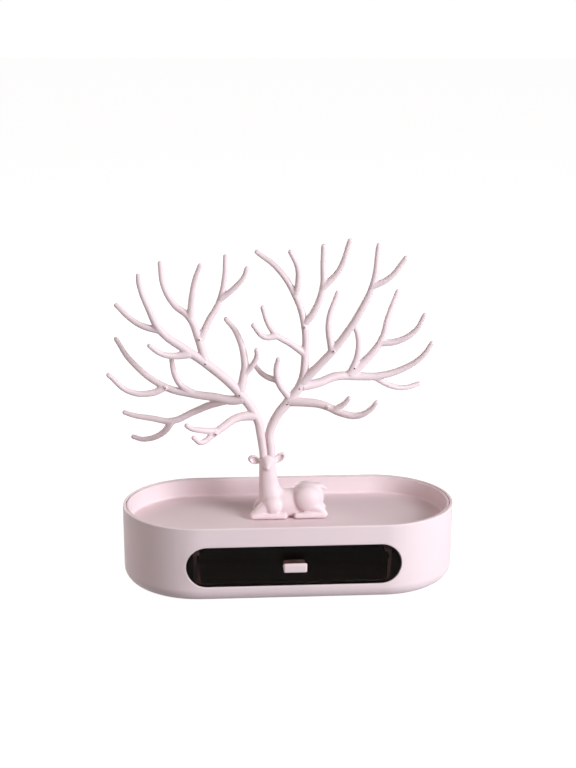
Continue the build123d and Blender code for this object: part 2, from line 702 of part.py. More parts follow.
with BuildPart() as antler_right_side:
    tine(right_side, 3.4, 3.6, 3.6, 3.2, 2.6, 2.2, tine_tip)
    tine([(92, 11, 65), (109, 14, 55), (121, 16, 53), (135, 19, 56)], 2.1, 2.0, tine_tip)
    tine([(71, 10, 67), (83, 11, 77), (99, 12, 98), (104, 14, 116), (113, 17, 140)], 3.3, 3.0, 2.4, tine_tip)
    tine([(97, 12, 94), (112, 10, 96), (127, 7, 106), (135, 4, 122)], 2.4, 2.2, tine_tip)
    tine([(72, 10, 68), (78, 9, 86), (77, 7, 104), (72, 5, 115)], 2.4, 2.2, tine_tip)
    plug_on(right_side, right_stem.part, right_diagonal.part)
    stud_holes((75, 11, 73))
antler_right_side.part.label = "antler_right_side"

with BuildPart() as right_low:
    tine(right_front, 3.6, 3.5, 3.4, 3.0, 2.4, tine_tip)
    tine([(57, -14, 43), (64, -17, 49), (69, -20, 56)], 2.3, tine_tip)
with BuildPart() as antler_right_front:
    add(right_low.part)
    plug_on(right_front, right_stem.part)
    stud_holes((50, -11, 45))
antler_right_front.part.label = "antler_right_front"

with BuildPart() as antler_right_inner:
    tine(right_inner, 2.7, 2.4, tine_tip)
    tine([(9, -3, 66), (-2, 3, 69), (-9, 10, 75), (-12, 12, 80)], 2.1, 1.9, tine_tip)
    plug_on(right_inner, right_stem.part, right_low.part)
antler_right_inner.part.label = "antler_right_inner"

# ----------------------------------------------------------------------- export

export_step(housing_shell.part, "parts/housing_shell.step")
export_step(tray_insert.part, "parts/tray_insert.step")
export_step(tray_screws.part, "parts/tray_screws.step")
export_step(base_plate.part, "parts/base_plate.step")
export_step(base_screws.part, "parts/base_screws.step")
export_step(rubber_feet.part, "parts/rubber_feet.step")
export_step(drawer_front.part, "parts/drawer_front.step")
export_step(drawer_box.part, "parts/drawer_box.step")
export_step(drawer_pull.part, "parts/drawer_pull.step")
export_step(pull_clip.part, "parts/pull_clip.step")
export_step(drawer_guide_right.part, "parts/drawer_guide_right.step")
export_step(drawer_guide_left.part, "parts/drawer_guide_left.step")
export_step(guide_screws.part, "parts/guide_screws.step")
export_step(deer_body.part, "parts/deer_body.step")
export_step(deer_screws.part, "parts/deer_screws.step")
export_step(antler_left_main.part, "parts/antler_left_main.step")
export_step(antler_left_crown.part, "parts/antler_left_crown.step")
export_step(antler_left_side.part, "parts/antler_left_side.step")
export_step(antler_left_back.part, "parts/antler_left_back.step")
export_step(antler_left_front.part, "parts/antler_left_front.step")
export_step(antler_left_inner.part, "parts/antler_left_inner.step")
export_step(antler_right_main.part, "parts/antler_right_main.step")
export_step(antler_right_crown.part, "parts/antler_right_crown.step")
export_step(antler_right_upper.part, "parts/antler_right_upper.step")
export_step(antler_right_side.part, "parts/antler_right_side.step")
export_step(antler_right_front.part, "parts/antler_right_front.step")
export_step(antler_right_inner.part, "parts/antler_right_inner.step")
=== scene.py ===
import json
from math import cos, pi, radians, sin, tan

import bpy
from mathutils import Euler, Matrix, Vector


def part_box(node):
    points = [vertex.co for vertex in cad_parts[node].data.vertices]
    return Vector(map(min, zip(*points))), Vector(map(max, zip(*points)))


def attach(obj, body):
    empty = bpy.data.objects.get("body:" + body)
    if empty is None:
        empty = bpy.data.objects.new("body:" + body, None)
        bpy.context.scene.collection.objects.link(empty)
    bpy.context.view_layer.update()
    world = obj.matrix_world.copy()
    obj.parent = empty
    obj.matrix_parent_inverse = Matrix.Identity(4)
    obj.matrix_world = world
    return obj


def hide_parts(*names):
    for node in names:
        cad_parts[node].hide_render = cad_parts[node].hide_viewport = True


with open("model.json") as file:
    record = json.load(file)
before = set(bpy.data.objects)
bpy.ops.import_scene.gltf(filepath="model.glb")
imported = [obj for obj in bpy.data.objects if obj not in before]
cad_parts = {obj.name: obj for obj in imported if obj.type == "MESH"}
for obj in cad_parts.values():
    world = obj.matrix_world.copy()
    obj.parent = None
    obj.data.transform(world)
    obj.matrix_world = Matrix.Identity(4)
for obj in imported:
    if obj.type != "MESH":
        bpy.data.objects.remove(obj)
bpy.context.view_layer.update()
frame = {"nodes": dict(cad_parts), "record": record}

bl_info = {
    "name": "Jewelry stand with drawer",
    "version": (1, 0, 0),
    "blender": (4, 5, 0),
    "location": "3D View > Sidebar > Jewelry stand",
    "description": "Dresses the frame of a jewelry stand: deer, antlers, base, finishes and stage",
    "category": "Object",
}

# ---------------------------------------------------------- places, in millimetres

MM = 0.001
DEER_MIDDLE = Vector((0.0, 8.0, 51.5))  # on the tray's floor, under the middle of the deer
HEAD_TOP = Vector((-18.0, 8.0, 107.5))  # middle of the flat top of the head

# The housing's wall, which narrows downwards from its rim
RIM_HEIGHT = 67.5
WALL_RADIUS = 66.0
WALL_END = 76.5  # where the wall's round ends begin
WALL_DRAFT = radians(0.6)
FRONT_FROM = -60.0  # the front wall lies before this

# The drawer's opening in the front wall
OPENING_MIDDLE = 33.2
OPENING_RADIUS = 17.5
OPENING_END = 72.5  # where the opening's round ends begin

# Where the edges lie that get rounded
RIM_DEPTH = 1.2  # below the top of the housing or the tray
TRAY_FLOOR_EDGE = (51.0, 55.0)  # levels
SLOT_REACH = 10.0  # the pull's slot is within this of the panel's middle, and stays sharp
BOX_RIM_FROM = 37.2  # above this level
PULL_FRONT_FROM = -66.3  # before this

# Sharpest turns, in degrees, that are still shaded smooth
MOULDED_CREASE = 35
DEER_CREASE = 60
TINE_CREASE = 75


def on_deer(x, y, z):
    """A point measured in millimetres from the tray's floor under the deer."""
    return (DEER_MIDDLE + Vector((x, y, z))) * MM


def on_head(x, y, z):
    """A point measured in millimetres from the middle of the head's top."""
    return (HEAD_TOP + Vector((x, y, z))) * MM


# ------------------------------------------------------------------------------ sizes


class AntlerSizes(bpy.types.PropertyGroup):
    grain: bpy.props.FloatProperty(
        name="Mesh size", description="Cell size of the mesh that joins the tines",
        default=0.0005, unit="LENGTH",
    )
    soften: bpy.props.IntProperty(
        name="Fork softening", description="Passes that round the forks between tines",
        default=18,
    )
    swell: bpy.props.FloatProperty(
        name="Swell",
        description="Added to a tine's radius where that is 1 mm, and less where it is thicker",
        default=0.0009, unit="LENGTH",
    )
    root_flare: bpy.props.FloatProperty(
        name="Root flare", description="Factor on the radius of a tine at its root",
        default=1.22, min=1.0, max=2.0,
    )


class DeerSizes(bpy.types.PropertyGroup):
    body_grain: bpy.props.FloatProperty(
        name="Body mesh size", description="Cell size of the mesh that joins trunk and head",
        default=0.0009, unit="LENGTH",
    )
    limb_grain: bpy.props.FloatProperty(
        name="Limb mesh size", description="Cell size of the mesh that joins legs, ears and tail",
        default=0.00045, unit="LENGTH",
    )
    body_soften: bpy.props.IntProperty(
        name="Body softening", description="Passes that blend the neck into the back",
        default=40,
    )
    limb_soften: bpy.props.IntProperty(
        name="Limb softening", description="Passes that round the legs' creases",
        default=14,
    )


class Finishes(bpy.types.PropertyGroup):
    plastic_colour: bpy.props.FloatVectorProperty(
        name="Plastic", description="Colour of the moulded pink plastic",
        default=(0.80, 0.65, 0.675), subtype="COLOR",
    )
    drawer_colour: bpy.props.FloatVectorProperty(
        name="Drawer", description="Colour of the box behind the smoky panel",
        default=(0.05, 0.028, 0.022), subtype="COLOR",
    )
    smoke_colour: bpy.props.FloatVectorProperty(
        name="Smoky panel", description="Tint of the drawer's see-through front",
        default=(0.30, 0.24, 0.225), subtype="COLOR",
    )
    steel_colour: bpy.props.FloatVectorProperty(
        name="Screw steel", description="Colour of the zinc-plated screws",
        default=(0.62, 0.62, 0.64), subtype="COLOR",
    )
    rubber_colour: bpy.props.FloatVectorProperty(
        name="Foot rubber", description="Colour of the rubber feet",
        default=(0.42, 0.40, 0.40), subtype="COLOR",
    )


class StageSettings(bpy.types.PropertyGroup):
    aim: bpy.props.FloatVectorProperty(
        name="Aim", description="Point that the camera looks at",
        default=(-0.0011, 0.0, 0.1719), subtype="TRANSLATION", unit="LENGTH",
    )
    azimuth: bpy.props.FloatProperty(
        name="Azimuth", description="Camera's turn from straight in front",
        default=radians(-4.6), subtype="ANGLE",
    )
    elevation: bpy.props.FloatProperty(
        name="Elevation", description="Camera's height angle",
        default=radians(15.6), subtype="ANGLE",
    )
    roll: bpy.props.FloatProperty(
        name="Roll", description="Camera's tilt about its own axis",
        default=radians(0.38), subtype="ANGLE",
    )
    distance: bpy.props.FloatProperty(
        name="Distance", description="Camera's distance from its aim",
        default=1.368, unit="LENGTH",
    )
    focal_length: bpy.props.FloatProperty(
        name="Focal length", description="Lens, for a sensor 36 mm wide",
        default=101.06,
    )


# ------------------------------------------------------------------- modelling by hand


def deselect():
    bpy.ops.object.select_all(action="DESELECT")


def only(obj):
    """Make this the one selected and active object."""
    deselect()
    obj.select_set(True)
    bpy.context.view_layer.objects.active = obj
    return obj


def settle(obj, name):
    """Put the object's place, turn and size into its mesh, and name it."""
    only(obj)
    bpy.ops.object.transform_apply(location=True, rotation=True, scale=True)
    obj.name = name
    obj.data.name = name
    return obj


def join(objs, name):
    """One object out of several, settled under its name."""
    deselect()
    for obj in objs:
        obj.select_set(True)
    bpy.context.view_layer.objects.active = objs[0]
    if len(objs) > 1:
        bpy.ops.object.join()
    return settle(bpy.context.object, name)


def modify(obj, kind, **values):
    """Add a modifier, set its values and apply it."""
    only(obj)
    modifier = obj.modifiers.new(kind.title(), kind)
    for key, value in values.items():
        setattr(modifier, key, value)
    bpy.ops.object.modifier_apply(modifier=modifier.name)
    return obj


def fuse(obj, grain, soften):
    """One skin round everything in the mesh, with its inner corners softened."""
    modify(obj, "REMESH", mode="VOXEL", voxel_size=grain)
    return modify(obj, "SMOOTH", factor=0.5, iterations=soften)


def cut(obj, cutter):
    """Take the cutter's shape out of the object, and remove the cutter."""
    modify(obj, "BOOLEAN", operation="DIFFERENCE", solver="EXACT", object=cutter)
    bpy.data.objects.remove(cutter)


def ball(centre, radii, turn=(0, 0, 0)):
    """An ellipsoid about a point, with its half sizes in millimetres and turn in degrees."""
    deselect()
    bpy.ops.mesh.primitive_uv_sphere_add(segments=40, ring_count=24, radius=1, location=centre)
    form = bpy.context.object
    form.scale = [r * MM for r in radii]
    form.rotation_euler = Euler([radians(a) for a in turn])
    return settle(form, "form")


def bar(points, radii, round_start=False):
    """A tapered round bar along a smooth line, closed by half balls.

    The radii, in millimetres, are spread evenly along the line.
    """
    path = [Vector(p) for p in points]
    path[-1] = path[-1] - (path[-1] - path[-2]).normalized() * radii[-1] * MM
    if round_start:
        path[0] = path[0] - (path[0] - path[1]).normalized() * radii[0] * MM
    runs = [(b - a).length for a, b in zip(path, path[1:])]
    deselect()
    bpy.ops.curve.primitive_bezier_curve_add()
    rod = bpy.context.object
    rod.data.bevel_depth = MM
    rod.data.bevel_resolution = 5
    rod.data.resolution_u = 10
    rod.data.use_fill_caps = True
    knots = rod.data.splines[0].bezier_points
    knots.add(len(path) - 2)
    along = 0.0
    for knot, point, run in zip(knots, path, [*runs, 0.0]):
        knot.co = point
        knot.handle_left_type = knot.handle_right_type = "AUTO"
        # Just short of the end, so that a radius always follows
        spot = min(along / sum(runs), 0.999) * (len(radii) - 1)
        low = int(spot)
        knot.radius = radii[low] + (radii[low + 1] - radii[low]) * (spot - low)
        along += run
    bpy.ops.object.convert(target="MESH")
    forms = [settle(bpy.context.object, "bar"), ball(path[-1], (radii[-1],) * 3)]
    if round_start:
        forms.append(ball(path[0], (radii[0],) * 3))
    return join(forms, "bar")


def limb(points, radii, round_start=False):
    """A tapered round bar through points on the deer."""
    return bar([on_deer(*p) for p in points], radii, round_start)


def widen(form, share):
    """Make a form wider or narrower across the deer, about its middle."""
    only(form)
    bpy.ops.transform.resize(value=(1, share, 1), center_override=on_deer(0, 0, 0))
    return settle(form, form.name)


def copy_of(node, name):
    """A new piece with a CAD node's shape, its loose triangles merged into whole faces."""
    piece = bpy.data.objects.new(name, frame["nodes"][node].data.copy())
    bpy.context.collection.objects.link(piece)
    only(piece)
    bpy.ops.object.mode_set(mode="EDIT")
    bpy.ops.mesh.select_all(action="SELECT")
    bpy.ops.mesh.remove_doubles(threshold=0.000002)
    bpy.ops.mesh.dissolve_limited(angle_limit=radians(0.4))
    bpy.ops.object.mode_set(mode="OBJECT")
    piece.data.name = name
    return piece


def top_of(node):
    """Level of a CAD node's top, in millimetres."""
    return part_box(node)[1][2] / MM


def round_edges(piece, chosen, width, segments=3, sharper_than=20):
    """Round the sharp edges whose two ends the test accepts.

    The test gets points in millimetres. The width is in millimetres, the angle in degrees.
    """
    only(piece)
    bpy.ops.object.mode_set(mode="EDIT")
    bpy.ops.mesh.select_mode(type="EDGE")
    bpy.ops.mesh.select_all(action="DESELECT")
    bpy.ops.mesh.edges_select_sharp(sharpness=radians(sharper_than))
    bpy.ops.object.mode_set(mode="OBJECT")
    mesh = piece.data
    points = [v.co / MM for v in mesh.vertices]
    edges = [e for e in mesh.edges if e.select and all(chosen(points[v]) for v in e.vertices)]
    if not edges:
        raise RuntimeError("no edge to round on " + piece.name)
    for element in (*mesh.vertices, *mesh.edges, *mesh.polygons):
        element.select = False
    for edge in edges:
        edge.select = True
        for v in edge.vertices:
            mesh.vertices[v].select = True
    bpy.ops.object.mode_set(mode="EDIT")
    bpy.ops.mesh.bevel(offset=width * MM, segments=segments, profile=0.5, affect="EDGES")
    bpy.ops.object.mode_set(mode="OBJECT")
    return piece


def smooth(obj, crease):
    """Smooth shading across turns that are less sharp than the crease, in degrees."""
    only(obj)
    bpy.ops.object.shade_smooth_by_angle(angle=radians(crease))
    return obj


def satin(piece):
    """Smooth shading that keeps the flat faces flat between rounded edges."""
    return modify(smooth(piece, MOULDED_CREASE), "WEIGHTED_NORMAL", keep_sharp=True)


# ---------------------------------------------------------------------------- finishes

BUMP_DEPTH = 0.0001  # metres
INNER_SHADE = 0.93  # share of the outer plastic's colour


def feed(tree, node, inputs):
    """Set or link a node's inputs, given by name or number. A socket is linked."""
    for key, value in inputs.items():
        if isinstance(value, bpy.types.NodeSocket):
            tree.links.new(value, node.inputs[key])
        else:
            node.inputs[key].default_value = value


def new_node(tree, kind, inputs, **settings):
    """Add a shader node with its settings and its inputs."""
    node = tree.nodes.new(kind)
    for key, value in settings.items():
        setattr(node, key, value)
    feed(tree, node, inputs)
    return node


def group_nodes(name, inputs, outputs):
    """A new shader group with its sockets, its input node and its output node."""
    group = bpy.data.node_groups.new(name, "ShaderNodeTree")
    for socket, kind, value in inputs:
        made = group.interface.new_socket(socket, in_out="INPUT", socket_type=kind)
        made.default_value = value
    for socket, kind in outputs:
        group.interface.new_socket(socket, in_out="OUTPUT", socket_type=kind)
    return group, group.nodes.new("NodeGroupInput"), group.nodes.new("NodeGroupOutput")


def moulding_group():
    """Moulded plastic: faint flow marks, fine texture from the mould and uneven gloss."""
    group, entry, leave = group_nodes(
        "moulded_surface",
        [
            ("Colour", "NodeSocketColor", (0.8, 0.8, 0.8, 1)),
            ("Shade", "NodeSocketFloat", 0.03),
            ("Flow Scale", "NodeSocketFloat", 14.0),
            ("Texture Scale", "NodeSocketFloat", 2600.0),
            ("Roughness", "NodeSocketFloat", 0.4),
            ("Gloss Spread", "NodeSocketFloat", 0.06),
        ],
        [
            ("Colour", "NodeSocketColor"),
            ("Roughness", "NodeSocketFloat"),
            ("Height", "NodeSocketFloat"),
        ],
    )
    given = entry.outputs
    place = group.nodes.new("ShaderNodeTexCoord").outputs["Object"]
    flow = new_node(group, "ShaderNodeTexNoise", {
        "Vector": place, "Scale": given["Flow Scale"], "Detail": 3.0,
    })
    darkest = new_node(
        group, "ShaderNodeMath", {0: 1.0, 1: given["Shade"]}, operation="SUBTRACT",
    )
    tone = new_node(group, "ShaderNodeMapRange", {
        "Value": flow.outputs["Fac"], "From Min": 0.3, "From Max": 0.7,
        "To Min": darkest.outputs[0], "To Max": 1.0,
    })
    shaded = new_node(
        group, "ShaderNodeVectorMath", {0: given["Colour"], "Scale": tone.outputs["Result"]},
        operation="SCALE",
    )
    gloss = new_node(group, "ShaderNodeTexNoise", {"Vector": place, "Scale": 60.0, "Detail": 4.0})
    centred = new_node(
        group, "ShaderNodeMath", {0: gloss.outputs["Fac"], 1: 0.5}, operation="SUBTRACT",
    )
    uneven = new_node(
        group, "ShaderNodeMath",
        {0: centred.outputs[0], 1: given["Gloss Spread"], 2: given["Roughness"]},
        operation="MULTIPLY_ADD",
    )
    texture = new_node(group, "ShaderNodeTexNoise", {
        "Vector": place, "Scale": given["Texture Scale"], "Detail": 2.0,
    })
    feed(group, leave, {
        "Colour": shaded.outputs["Vector"],
        "Roughness": uneven.outputs[0],
        "Height": texture.outputs["Fac"],
    })
    return group


def new_material(name):
    """A new material, its node tree and its Principled shader."""
    material = bpy.data.materials.new(name)
    material.use_nodes = True
    tree = material.node_tree
    return material, tree, tree.nodes["Principled BSDF"]


def moulded(name, colour, roughness, bump, shade=0.03, texture_scale=2600.0, **sockets):
    """A material on the shared moulded surface, with more of its shader's sockets by name."""
    material, tree, shader = new_material(name)
    surface = new_node(
        tree, "ShaderNodeGroup",
        {
            "Colour": (*colour, 1), "Shade": shade,
            "Texture Scale": texture_scale, "Roughness": roughness,
        },
        node_tree=bpy.data.node_groups.get("moulded_surface") or moulding_group(),
    )
    dents = new_node(tree, "ShaderNodeBump", {
        "Strength": bump, "Distance": BUMP_DEPTH, "Height": surface.outputs["Height"],
    })
    feed(tree, shader, {
        "Base Color": surface.outputs["Colour"],
        "Roughness": surface.outputs["Roughness"],
        "Normal": dents.outputs["Normal"],
    })
    feed(tree, shader, {key.replace("_", " "): value for key, value in sockets.items()})
    return material


def seen_directly(tree):
    """A socket that is 1 for rays from the camera, off a gloss or through glass, and else 0."""
    ray = tree.nodes.new("ShaderNodeLightPath").outputs
    total = ray["Is Camera Ray"]
    for kind in ("Is Glossy Ray", "Is Transmission Ray"):
        either = new_node(tree, "ShaderNodeMath", {0: total, 1: ray[kind]}, operation="MAXIMUM")
        total = either.outputs[0]
    return total


def finish_materials(scene):
    """Every finish of the stand, by the record's slot."""
    f = scene.stand_finishes
    return {
        "body_plastic": moulded(
            "satin_pink_plastic", f.plastic_colour, 0.46, 0.1, shade=0.02,
            Specular_IOR_Level=0.22,
        ),
        "inner_plastic": moulded(
            "plain_pink_plastic", [c * INNER_SHADE for c in f.plastic_colour], 0.55, 0.2,
            Specular_IOR_Level=0.22,
        ),
        "drawer_plastic": moulded(
            "smoky_drawer_plastic", f.drawer_colour, 0.22, 0.05, Specular_IOR_Level=0.3,
        ),
        # A low index keeps the panel dark in front of the white stage
        "panel_plastic": moulded(
            "smoky_panel", f.smoke_colour, 0.03, 0.0, shade=0.02,
            Transmission_Weight=1.0, IOR=1.14,
        ),
        "foot_rubber": moulded(
            "grey_rubber", f.rubber_colour, 0.7, 0.5, shade=0.1, texture_scale=1500.0,
        ),
        "screw_steel": moulded(
            "zinc_plate", f.steel_colour, 0.32, 0.1, shade=0.12, texture_scale=3200.0,
            Metallic=1.0,
        ),
    }


finishes_made = {}


def finish_of(slot):
    """The material of a slot. All are made the first time that one is asked for."""
    if not finishes_made:
        finishes_made.update(finish_materials(bpy.context.scene))
    return finishes_made[slot]


def dress(obj, slot, body, node):
    """Finish a piece, let it ride its body and stand for its CAD node."""
    obj.data.materials.clear()
    obj.data.materials.append(finish_of(slot))
    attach(obj, body)
    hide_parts(node)


# ------------------------------------------------------------------------------- deer


class STAND_OT_deer(bpy.types.Operator):
    """Model the lying deer and set it on the tray's floor"""

    bl_idname = "stand.deer"
    bl_label = "Deer"

    def execute(self, context):
        sizes = context.scene.stand_deer
        parts = [self.body(sizes), self.ear(-1), self.ear(1), self.tail()]
        for side in (-1, 1):
            parts += self.legs(side)
        deer = fuse(join(parts, "deer"), sizes.limb_grain, sizes.limb_soften)
        self.seat(deer)
        dress(smooth(deer, DEER_CREASE), "body_plastic", "stand", "deer_body")
        return {"FINISHED"}

    def body(self, sizes):
        """Trunk, neck and head in one soft form."""
        chest = ball(on_deer(-14.2, 0, 13.0), (11.4, 10.4, 13.0))
        belly = ball(on_deer(0, 0, 12.2), (19, 10.4, 12.2))
        rump = ball(on_deer(16.6, 0, 15.6), (15.2, 13.2, 14.8))
        spine = limb(
            ((-17, 0, 12.6), (-4, 0, 12.8), (8, 0, 14), (22, 0, 14)), (10.4, 10.8, 11.4, 9),
        )
        pad = limb(((-22, 0, 3.6), (0, 0, 3.6), (24, 0, 3.6)), (5.2, 5.2, 5.2), True)
        pad = widen(pad, 1.6)
        neck = limb(
            (
                (-14.6, 0, 6), (-14.6, 0, 14), (-15.0, 0, 20), (-16.5, 0, 28),
                (-17.4, 0, 38), (-17.9, 0, 46), (-18, 0, 55.4),
            ),
            (10.6, 11.0, 10.8, 9.1, 8.3, 8.0, 7.0),
        )
        neck = widen(neck, 0.93)
        skull = ball(on_deer(-18, 0.4, 49.6), (7.5, 7.0, 6.9))
        muzzle = limb(
            ((-18, -1, 50.6), (-18.2, -7, 48.6), (-18.6, -14.2, 45.4)), (6.2, 4.9, 3.0),
        )
        deer = join([chest, belly, rump, spine, pad, neck, skull, muzzle], "deer_form")
        return fuse(deer, sizes.body_grain, sizes.body_soften)

    def ear(self, side):
        """A cupped ear on a short stalk. The one towards -X lies flatter than the other."""
        if side < 0:
            (x, y, z), turn, long, wide = (-29.3, -0.4, 51.2), (0, 16, -8), 5.6, 4.2
        else:
            (x, y, z), turn, long, wide = (-7.2, -0.2, 52.6), (0, -38, 10), 6.3, 4.0
        ear = ball(on_deer(x, y, z), (long, 2.3, wide), turn)
        hollow = ball(
            on_deer(x - side * 0.6, y - 1.7, z - 0.4), (long - 1.7, 2.5, wide - 1.3), turn,
        )
        cut(ear, hollow)
        stalk = limb(((-18 + side * 4, 0, 49.5), (x - side * 2.6, 0.5, z - 0.8)), (2.6, 1.8))
        return join([ear, stalk], "ear")

    def tail(self):
        """A short tail laid against the rump."""
        tail = limb(((22, 0, 26.6), (28, 0, 26.2), (34.2, 0, 22.6)), (2.6, 2.4, 1.3))
        return widen(tail, 1.3)

    def legs(self, side):
        """Thigh, folded hind leg, shoulder and folded foreleg of one side."""
        y = side * 11.0
        # The far foreleg is shorter and thinner, so that the near one hides it from the front
        knee, upper = (-33.4, 7.0) if side < 0 else (-28.4, 5.4)
        return [
            ball(on_deer(16.2, side * 6.6, 16.8), (12.3, 8.4, 11.7)),
            limb(
                ((19.5, side * 7.0, 12), (26.8, side * 8.4, 8), (33.4, side * 9.8, 1.6)),
                (7.0, 4.6, 2.8),
            ),
            limb(((33.4, y, 2.9), (19, y, 3.3), (4.2, y, 2.9)), (2.5, 2.9, 2.6), True),
            ball(on_deer(-13.7, side * 7.2, 12.2), (8.6, 7.8, 8.8)),
            limb(
                ((-15, side * 6.4, 12), (-24, side * 8.2, 8), (knee, side * 9.8, 2.0)),
                (upper, 4.9, 2.9),
            ),
            limb(((knee, y, 2.9), (-17, y, 3.1), (-0.8, y, 2.8)), (2.5, 2.9, 2.6), True),
        ]

    def seat(self, deer):
        """Cut the underside flat where the deer stands on the tray."""
        only(deer)
        bpy.ops.object.mode_set(mode="EDIT")
        bpy.ops.mesh.select_all(action="SELECT")
        bpy.ops.mesh.bisect(
            plane_co=on_deer(0, 0, 0.05), plane_no=(0, 0, 1), use_fill=True, clear_inner=True,
        )
        bpy.ops.object.mode_set(mode="OBJECT")


# ----------------------------------------------------------------------------- antlers

# Each tine: the points of its middle line from the head's top, and evenly spaced radii, in mm
ANTLERS = {
    "antler_left_main": (
        (((-3.0, 0, -3), (-3.6, 0, 4), (-6, 0, 20), (-8, 0, 30), (-23, 0, 54), (-52, -3, 82),
          (-71, -5, 96), (-90, -8, 112), (-100, -10, 132), (-107, -11, 152), (-108, -12, 162)),
         (2.9, 3.7, 4.1, 4.0, 3.9, 3.5, 3.0, 2.2, 1.6)),
        (((-89, -8, 112), (-105, -6, 116), (-115, -4, 122), (-128, 0, 134)), (2.5, 2.2, 1.6)),
        (((-66, -5, 91), (-79, -7, 90), (-90, -10, 93), (-101, -14, 102)), (2.9, 2.2, 1.6)),
    ),
    "antler_left_crown": (
        (((-53, -3, 84), (-58, -1, 102), (-66, 2, 121), (-78, 5, 131), (-87, 7, 147),
          (-90, 10, 168)), (3.1, 2.9, 2.4, 1.6)),
        (((-65, 2, 119), (-64, 1, 134), (-61, -1, 153), (-56, -3, 168)), (2.4, 2.3, 1.6)),
        (((-57, -1, 101), (-50, 1, 117), (-41, 3, 133), (-36, 4, 154), (-35, 6, 174)),
         (2.6, 2.3, 1.6)),
        (((-40, 3, 136), (-30, 1, 144), (-20, -1, 156), (-17, -2, 165)), (2.2, 2.0, 1.6)),
    ),
    "antler_left_side": (
        (((-20, 0, 50), (-30, 2, 48), (-46, 6, 50), (-63, 9, 52), (-87, 12, 58),
          (-116, 19, 80), (-129, 22, 100)), (3.5, 3.5, 3.2, 2.6, 2.2, 1.6)),
        (((-86, 12, 58), (-98, 11, 53), (-117, 9, 55), (-136, 6, 72)), (2.5, 2.2, 1.6)),
        (((-60, 9, 51), (-75, 9, 62), (-81, 8, 83), (-81, 8, 88)), (2.4, 2.2, 1.6)),
    ),
    "antler_left_back": (
        (((-34, 3, 48), (-48, 10, 42), (-62, 17, 34), (-82, 20, 25), (-98, 22, 27),
          (-115, 23, 30), (-124, 24, 33)), (2.9, 2.9, 2.7, 2.3, 1.6)),
        (((-81, 20, 25), (-90, 23, 13), (-106, 26, 7), (-117, 29, 9)), (2.5, 2.2, 1.6)),
    ),
    "antler_left_front": (
        (((-10, 0, 35), (-26, -4, 34), (-40, -11, 27), (-47, -15, 23), (-57, -21, 18),
          (-65, -27, 25)), (3.5, 3.5, 3.3, 2.2, 1.6)),
        (((-44, -13, 25), (-56, -19, 28), (-66, -22, 31), (-71, -23, 35)), (2.5, 2.2, 1.6)),
    ),
    "antler_left_inner": (
        (((-23, 0, 56), (-20, 2, 70), (-19, 3, 80), (-26, 7, 106), (-36, 10, 119)),
         (3.3, 3.2, 2.6, 1.6)),
        (((-20, 2, 70), (-13, 0, 79), (-9, -2, 89), (-10, -3, 95)), (2.2, 2.0, 1.6)),
    ),
    "antler_right_main": (
        (((3.5, 0, -3), (3.1, 0, 4), (2, 0, 18), (7, 0, 32), (18, 0, 47), (29, 0, 63),
          (32, 1, 85), (31, 2, 115), (23, 7, 139), (9, 11, 160), (-10, 15, 175)),
         (2.9, 3.7, 4.1, 4.0, 3.0, 2.8, 2.6, 2.2, 1.6)),
        (((24, 7, 136), (26, 5, 150), (25, 3, 163), (18, 1, 178)), (2.3, 2.1, 1.6)),
        (((32, 1, 88), (19, -1, 98), (7, -3, 106), (1, -1, 114), (-5, 1, 131)),
         (2.4, 2.2, 1.6)),
        (((8, -3, 105), (-3, -5, 105), (-14, -7, 117)), (2.1, 1.6)),
    ),
    "antler_right_crown": (
        (((32, 1.8, 115), (39, 0, 125), (46, -2, 147), (46, -3, 167), (46, -5, 184)),
         (2.6, 2.7, 2.3, 1.6)),
        (((46, -2, 146), (59, -5, 161), (68, -10, 189)), (2.4, 2.1, 1.6)),
    ),
    "antler_right_upper": (
        (((29, 0, 63), (44, -4, 80), (55, -7, 93), (65, -9, 107), (76, -12, 126),
          (87, -14, 152), (91, -14, 186)), (3.4, 3.3, 3.2, 3.0, 2.4, 1.6)),
        (((54, -7, 92), (51, -6, 118), (59, -4, 144)), (2.6, 2.2, 1.6)),
        (((86, -14, 149), (100, -17, 157), (114, -21, 176)), (2.2, 2.0, 1.6)),
    ),
    "antler_right_side": (
        (((29, 0, 60), (45, 4, 62), (59, 8, 66), (80, 11, 65), (96, 11, 65), (120, 9, 73),
          (134, 6, 84), (142, 4, 97)), (3.4, 3.6, 3.6, 3.2, 2.6, 2.2, 1.6)),
        (((92, 11, 65), (109, 14, 55), (121, 16, 53), (135, 19, 56)), (2.1, 2.0, 1.6)),
        (((71, 10, 67), (83, 11, 77), (99, 12, 98), (104, 14, 116), (113, 17, 140)),
         (3.3, 3.0, 2.4, 1.6)),
        (((97, 12, 94), (112, 10, 96), (127, 7, 106), (135, 4, 122)), (2.4, 2.2, 1.6)),
        (((72, 10, 68), (78, 9, 86), (77, 7, 104), (72, 5, 115)), (2.4, 2.2, 1.6)),
    ),
    "antler_right_front": (
        (((18, 0, 47), (30, -4, 47), (46, -9, 46), (63, -16, 40), (75, -20, 39),
          (86, -24, 46), (91, -27, 54)), (3.6, 3.5, 3.4, 3.0, 2.4, 1.6)),
        (((57, -14, 43), (64, -17, 49), (69, -20, 56)), (2.3, 1.6)),
    ),
    "antler_right_inner": (
        (((19, 0, 50), (9, -3, 65), (7, -5, 77), (9, -7, 88)), (2.7, 2.4, 1.6)),
        (((9, -3, 66), (-2, 3, 69), (-9, 10, 75), (-12, 12, 80)), (2.1, 1.9, 1.6)),
    ),
}

